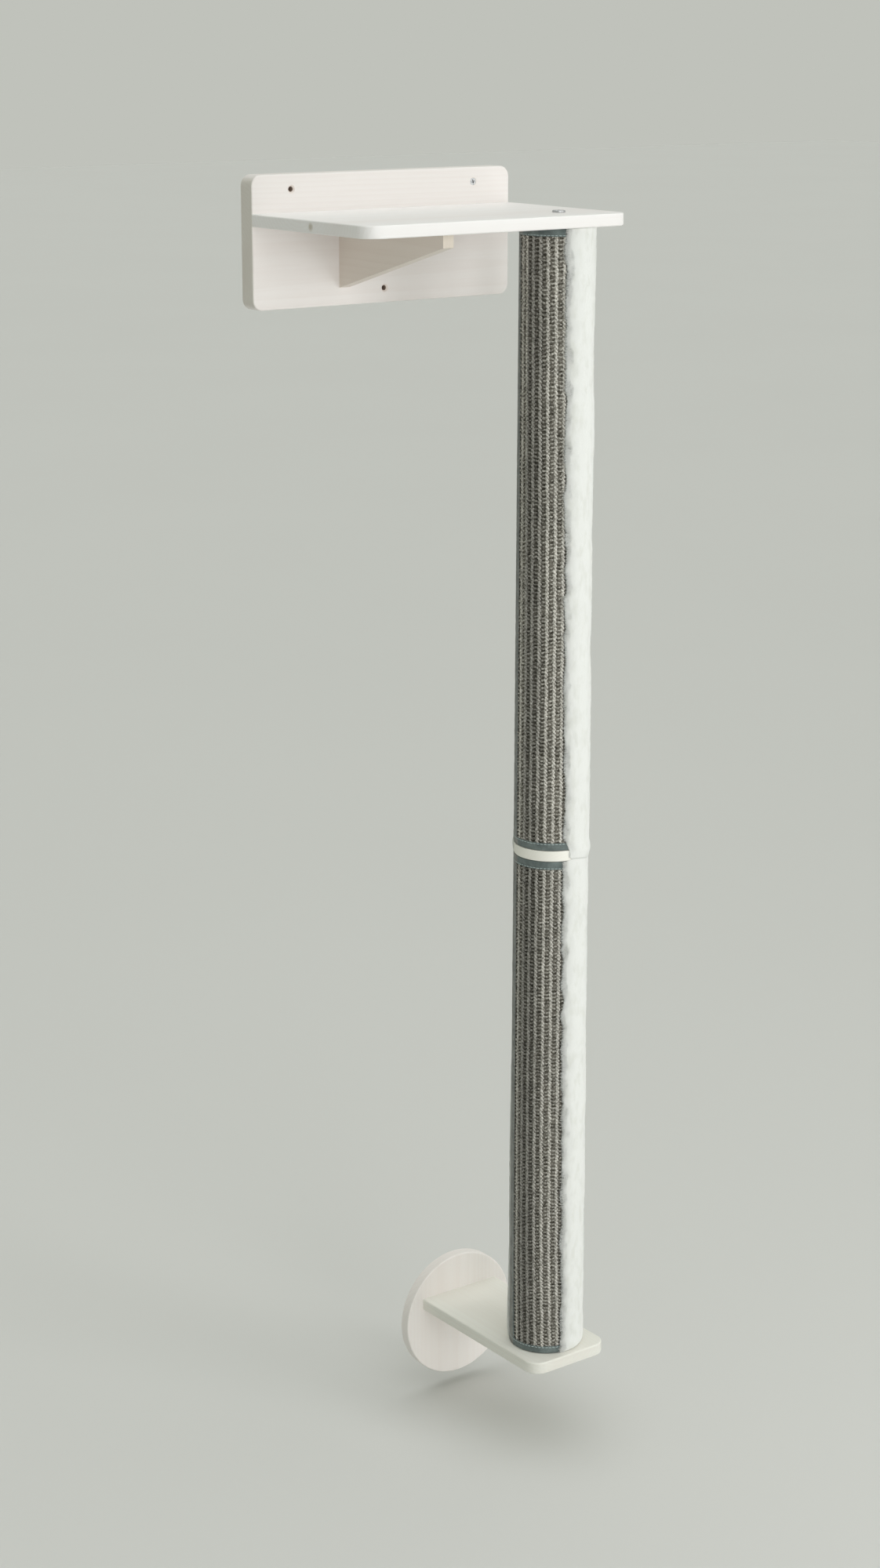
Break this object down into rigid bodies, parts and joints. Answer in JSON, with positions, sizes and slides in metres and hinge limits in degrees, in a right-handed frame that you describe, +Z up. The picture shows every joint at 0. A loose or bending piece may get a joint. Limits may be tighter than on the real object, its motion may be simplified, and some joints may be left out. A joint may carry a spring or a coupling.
{
  "type": "wall-mounted cat scratching post",
  "caption": "Tall wall-mounted scratching post: ribbed mat and plush round stacked posts, under a bracketed wooden wall shelf, on a foot plate with a round wall disc.",
  "frame": {"origin": "centre of the wall board's back face, on the wall plane", "axes": "+Z up along the posts, +Y into the wall, -Y out into the room, +X to the right as seen from the room"},
  "size_m": [0.4335, 0.28, 1.7575],
  "materials": {
    "glazed_pine": "white-glazed solid pine, satin, grain showing through",
    "bare_pine": "pale clear-lacquered pine",
    "plug_wood": "raw wood",
    "cardboard": "spiral-wound board",
    "zinc_steel": "zinc-plated",
    "scratch_mat": "ribbed woven grey-beige scratch mat",
    "binding_tape": "blue-grey woven tape, stitched",
    "white_plush": "white long-pile plush"
  },
  "bodies": {
    "root": {"wall_board": "glazed_pine", "shelf": "glazed_pine", "shelf_bracket": "glazed_pine", "wall_disc": "glazed_pine", "foot_plate": "glazed_pine", "spacer_disc": "bare_pine", "upper_post_tube": "cardboard", "lower_post_tube": "cardboard", "upper_post_top_plug": "plug_wood", "upper_post_bottom_plug": "plug_wood", "lower_post_top_plug": "plug_wood", "lower_post_bottom_plug": "plug_wood", "upper_post_top_insert": "zinc_steel", "upper_post_bottom_insert": "zinc_steel", "lower_post_top_insert": "zinc_steel", "lower_post_bottom_insert": "zinc_steel", "joining_stud": "zinc_steel", "shelf_bolt": "zinc_steel", "foot_bolt": "zinc_steel", "shelf_screws": "zinc_steel", "bracket_screws": "zinc_steel", "bracket_dowels": "plug_wood", "foot_screws": "zinc_steel", "upper_scratch_mat": "scratch_mat", "lower_scratch_mat": "scratch_mat", "upper_mat_binding": "binding_tape", "lower_mat_binding": "binding_tape", "upper_plush_cover": "white_plush", "lower_plush_cover": "white_plush"}
  },
  "joints": []
}
